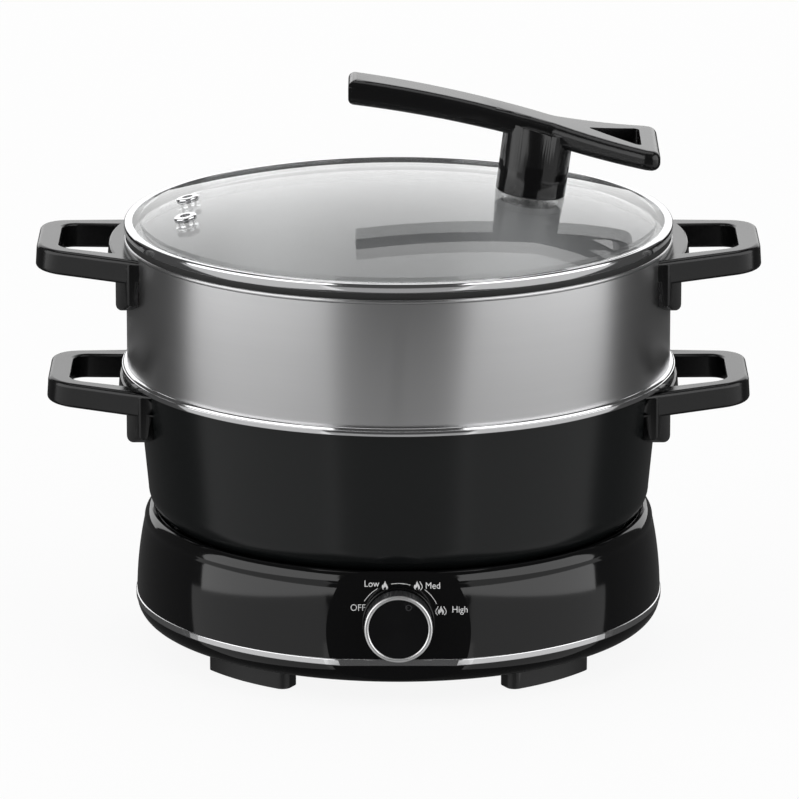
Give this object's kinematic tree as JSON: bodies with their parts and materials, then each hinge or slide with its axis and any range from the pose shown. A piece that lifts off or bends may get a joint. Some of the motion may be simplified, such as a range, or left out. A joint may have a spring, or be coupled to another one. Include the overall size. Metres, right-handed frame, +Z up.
{
  "type": "electric hot pot with lid",
  "caption": "Round electric hot pot: heating base with a dial, coated pot, steel steamer tier, glass lid with an off-centre bar handle.",
  "frame": {"origin": "on the vessels' axis, on the surface that the foot pads stand on", "axes": "+Z up; -Y towards the front, where the dial is; +X to the right seen from the front, along the line through the side handles"},
  "size_m": [0.3764, 0.3019, 0.3006],
  "materials": {
    "black_gloss_plastic": "gloss",
    "dark_heatproof_plastic": "satin",
    "silver_trim": "satin",
    "chromed_metal": "polished",
    "cast_aluminium": "machined",
    "heater_steel": "drawn",
    "screw_steel": "plated",
    "brass_pins": "plated",
    "lead_insulation": "matt",
    "white_ceramic": "glazed",
    "dark_rubber": "matt",
    "dial_face": "spun",
    "coated_pot": "satin non-stick coating",
    "polished_rim": "polished",
    "brushed_steel": "satin",
    "lid_glass": "clear tempered"
  },
  "bodies": {
    "base": {"base_housing": "black_gloss_plastic", "trim_band": "silver_trim", "top_ring": "dark_heatproof_plastic", "heating_plate": "cast_aluminium", "heating_element": "heater_steel", "reflector_pan": "heater_steel", "plate_standoffs": "heater_steel", "centre_sensor": "cast_aluminium", "limit_switch": "dark_heatproof_plastic", "thermal_fuse": "white_ceramic", "knob_bezel": "dark_heatproof_plastic", "switch_bracket": "heater_steel", "heat_switch": "dark_heatproof_plastic", "panel_screws": "screw_steel", "power_inlet": "black_gloss_plastic", "inlet_pins": "brass_pins", "terminal_block": "white_ceramic", "internal_leads": "lead_insulation", "base_bottom_cover": "dark_heatproof_plastic", "cover_screws": "screw_steel", "foot_front_right": "dark_heatproof_plastic", "foot_pad_front_right": "dark_rubber", "foot_front_left": "dark_heatproof_plastic", "foot_pad_front_left": "dark_rubber", "foot_rear_left": "dark_heatproof_plastic", "foot_pad_rear_left": "dark_rubber", "foot_rear_right": "dark_heatproof_plastic", "foot_pad_rear_right": "dark_rubber"},
    "dial": {"knob_body": "dark_heatproof_plastic", "knob_trim_ring": "chromed_metal", "knob_face_disc": "dial_face", "dial_shaft": "heater_steel", "knob_clip": "heater_steel"},
    "pot": {"pot_shell": "coated_pot", "pot_rim_ring": "polished_rim", "pot_base_disc": "brushed_steel", "pot_handle_screws": "screw_steel", "pot_handle_right": "black_gloss_plastic", "pot_handle_left": "black_gloss_plastic", "pot_handle_bracket_right": "screw_steel", "pot_handle_bracket_left": "screw_steel"},
    "steamer": {"steamer_shell": "brushed_steel", "steamer_handle_screws": "screw_steel", "steamer_handle_right": "black_gloss_plastic", "steamer_handle_left": "black_gloss_plastic", "steamer_handle_bracket_right": "screw_steel", "steamer_handle_bracket_left": "screw_steel"},
    "lid": {"lid_glass": "lid_glass", "lid_rim_band": "polished_rim", "lid_gasket": "dark_rubber", "vent_eyelet_rear": "chromed_metal", "vent_eyelet_front": "chromed_metal", "lid_handle_base": "black_gloss_plastic", "handle_gasket": "dark_rubber", "handle_underplate": "screw_steel", "lid_screw": "screw_steel", "lid_handle": "black_gloss_plastic"}
  },
  "joints": [
    {"name": "dial_turn", "type": "hinge", "parent": "base", "child": "dial", "pos_m": [0, -0.13176, 0.0448], "axis": [0, -0.9962, 0.0872], "range_deg": [-42, 86]},
    {"name": "pot_lift", "type": "slide", "parent": "base", "child": "pot", "axis": [0, 0, 1], "range_m": [0, 0.12]},
    {"name": "steamer_lift", "type": "slide", "parent": "pot", "child": "steamer", "axis": [0, 0, 1], "range_m": [0, 0.11]},
    {"name": "lid_lift", "type": "slide", "parent": "steamer", "child": "lid", "axis": [0, 0, 1], "range_m": [0, 0.12]}
  ]
}
